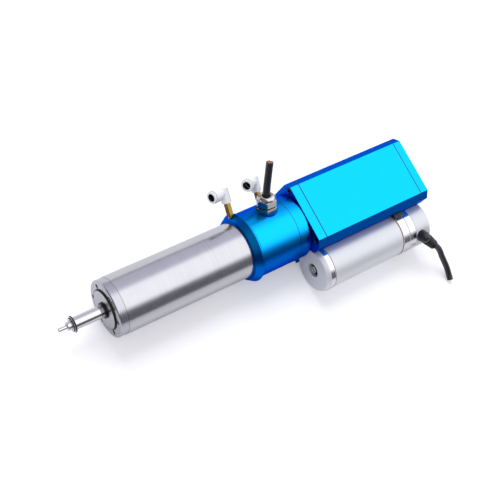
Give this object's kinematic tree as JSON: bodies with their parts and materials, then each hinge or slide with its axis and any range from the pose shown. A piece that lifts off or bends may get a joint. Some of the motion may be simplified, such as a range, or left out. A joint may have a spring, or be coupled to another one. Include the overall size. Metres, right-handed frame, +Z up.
{
  "type": "tool change spindle",
  "caption": "Tubular high speed motor spindle with a collet nose, a blue connection housing with air elbows and a cable gland, and an electric release drive beside a blue box.",
  "frame": {"origin": "on the spindle axis at the middle of the steel clamping sleeve", "axes": "+X along the spindle axis towards the rear, the tool points along -X; +Z is up, square to the box's top; +Y is away from the actuator"},
  "size_m": [0.4576, 0.1953, 0.1135],
  "materials": {
    "sleeve_steel": "fine turned and ground",
    "cap_steel": "satin turned",
    "shaft_steel": "ground and polished",
    "dark_steel": "blackened",
    "blue_anodised": "bright blue anodised, satin",
    "bare_aluminium": "as machined",
    "actuator_silver": "matte silver",
    "nickel": "nickel plated",
    "brass": "bright turned brass",
    "black_rubber": "matte",
    "seal_brown": "matte brown",
    "white_plastic": "light grey, semi gloss",
    "black_plastic": "matte",
    "cage_plastic": "brown fabric resin",
    "copper": "enamelled copper",
    "laminations": "stacked laminations",
    "ceramic_magnet": "dark sintered",
    "circuit_board": "green board",
    "bronze": "machined bronze"
  },
  "bodies": {
    "housing": {"front_cap": "cap_steel", "nose_cover": "cap_steel", "nose_screws": "dark_steel", "clamp_sleeve": "sleeve_steel", "bearing_outer_rings": "shaft_steel", "stator_core": "laminations", "stator_windings": "copper", "connection_housing": "blue_anodised", "tail_cover": "blue_anodised", "gland_body": "nickel", "gland_seal": "black_rubber", "gland_nut": "nickel", "spindle_cable": "black_rubber", "air_stem_1": "brass", "air_stem_2": "brass", "front_plate": "blue_anodised", "box_shell": "blue_anodised", "rear_plate": "blue_anodised", "plate_screws": "dark_steel", "bearing_carrier": "bare_aluminium", "guide_key": "dark_steel", "sensor_board": "circuit_board", "gear_guard": "black_plastic", "idler_pin": "shaft_steel", "actuator_tube": "actuator_silver", "actuator_front_cap": "actuator_silver", "seal_rings": "seal_brown", "gear_band": "actuator_silver", "rear_band": "actuator_silver", "actuator_rear_cap": "actuator_silver", "motor_magnets": "ceramic_magnet", "brush_carrier": "black_plastic", "strain_relief": "black_rubber", "actuator_cable": "black_rubber"},
    "spindle_rotor": {"spindle_shaft": "shaft_steel", "rotor_core": "laminations", "slinger_disc": "shaft_steel", "nose_collar": "dark_steel", "bearing_inner_rings": "shaft_steel", "lock_nut": "dark_steel"},
    "rolling_set": {"bearing_balls": "shaft_steel", "bearing_cages": "cage_plastic"},
    "drawbar_set": {"drawbar": "shaft_steel", "collet": "shaft_steel", "disc_springs": "dark_steel"},
    "tool": {"tool_pin": "shaft_steel"},
    "push_rod_set": {"push_rod": "shaft_steel", "sensor_collar": "dark_steel"},
    "release_gear": {"drive_gear": "bronze"},
    "idler": {"idler_gear": "shaft_steel"},
    "armature": {"pinion": "bronze", "armature_shaft": "shaft_steel", "armature_core": "laminations", "commutator": "copper"},
    "front_elbow": {"elbow_1": "white_plastic"},
    "rear_elbow": {"elbow_2": "white_plastic"},
    "front_release_collar": {"release_collar_1": "white_plastic"},
    "rear_release_collar": {"release_collar_2": "white_plastic"}
  },
  "joints": [
    {"name": "spindle_spin", "type": "hinge", "parent": "housing", "child": "spindle_rotor", "pos_m": [0, 0, 0], "axis": [1, 0, 0], "continuous": true},
    {"name": "bearing_roll", "type": "hinge", "parent": "housing", "child": "rolling_set", "pos_m": [0, 0, 0], "axis": [1, 0, 0], "continuous": true},
    {"name": "release_gear_turn", "type": "hinge", "parent": "housing", "child": "release_gear", "pos_m": [0, 0, 0], "axis": [1, 0, 0], "range_deg": [0, 1080]},
    {"name": "idler_turn", "type": "hinge", "parent": "housing", "child": "idler", "pos_m": [0, -0.02744, 0.00937], "axis": [1, 0, 0], "range_deg": [-1769, 0]},
    {"name": "armature_turn", "type": "hinge", "parent": "housing", "child": "armature", "pos_m": [0, -0.05267, -0.0119], "axis": [1, 0, 0], "range_deg": [0, 885]},
    {"name": "push_rod_slide", "type": "slide", "parent": "housing", "child": "push_rod_set", "axis": [-1, 0, 0], "range_m": [0, 0.003]},
    {"name": "collet_release", "type": "slide", "parent": "spindle_rotor", "child": "drawbar_set", "axis": [-1, 0, 0], "range_m": [0, 0.003], "deforming": ["disc_springs"]},
    {"name": "tool_pull", "type": "slide", "parent": "drawbar_set", "child": "tool", "axis": [-1, 0, 0], "range_m": [0, 0.03]},
    {"name": "front_elbow_swivel", "type": "hinge", "parent": "housing", "child": "front_elbow", "pos_m": [0.078, 0, 0], "axis": [0, 0.891, 0.454], "range_deg": [-150, 70]},
    {"name": "rear_elbow_swivel", "type": "hinge", "parent": "housing", "child": "rear_elbow", "pos_m": [0.116, 0, 0], "axis": [0, 0.891, 0.454], "range_deg": [-130, 15]},
    {"name": "front_collar_press", "type": "slide", "parent": "front_elbow", "child": "front_release_collar", "axis": [0.9613, 0.1251, -0.2456], "range_m": [0, 0.001], "stiffness_N_per_m": 3000},
    {"name": "rear_collar_press", "type": "slide", "parent": "rear_elbow", "child": "rear_release_collar", "axis": [0.829, 0.2539, -0.4982], "range_m": [0, 0.001], "stiffness_N_per_m": 3000}
  ],
  "couplings": [
    {"joint": "bearing_roll", "follows": "spindle_spin", "ratio": 0.39},
    {"joint": "idler_turn", "follows": "release_gear_turn", "ratio": -1.6364},
    {"joint": "armature_turn", "follows": "release_gear_turn", "ratio": 0.81818},
    {"joint": "push_rod_slide", "follows": "release_gear_turn", "m_per_rad": 0.00015915},
    {"joint": "collet_release", "follows": "release_gear_turn", "m_per_rad": 0.00015915}
  ]
}
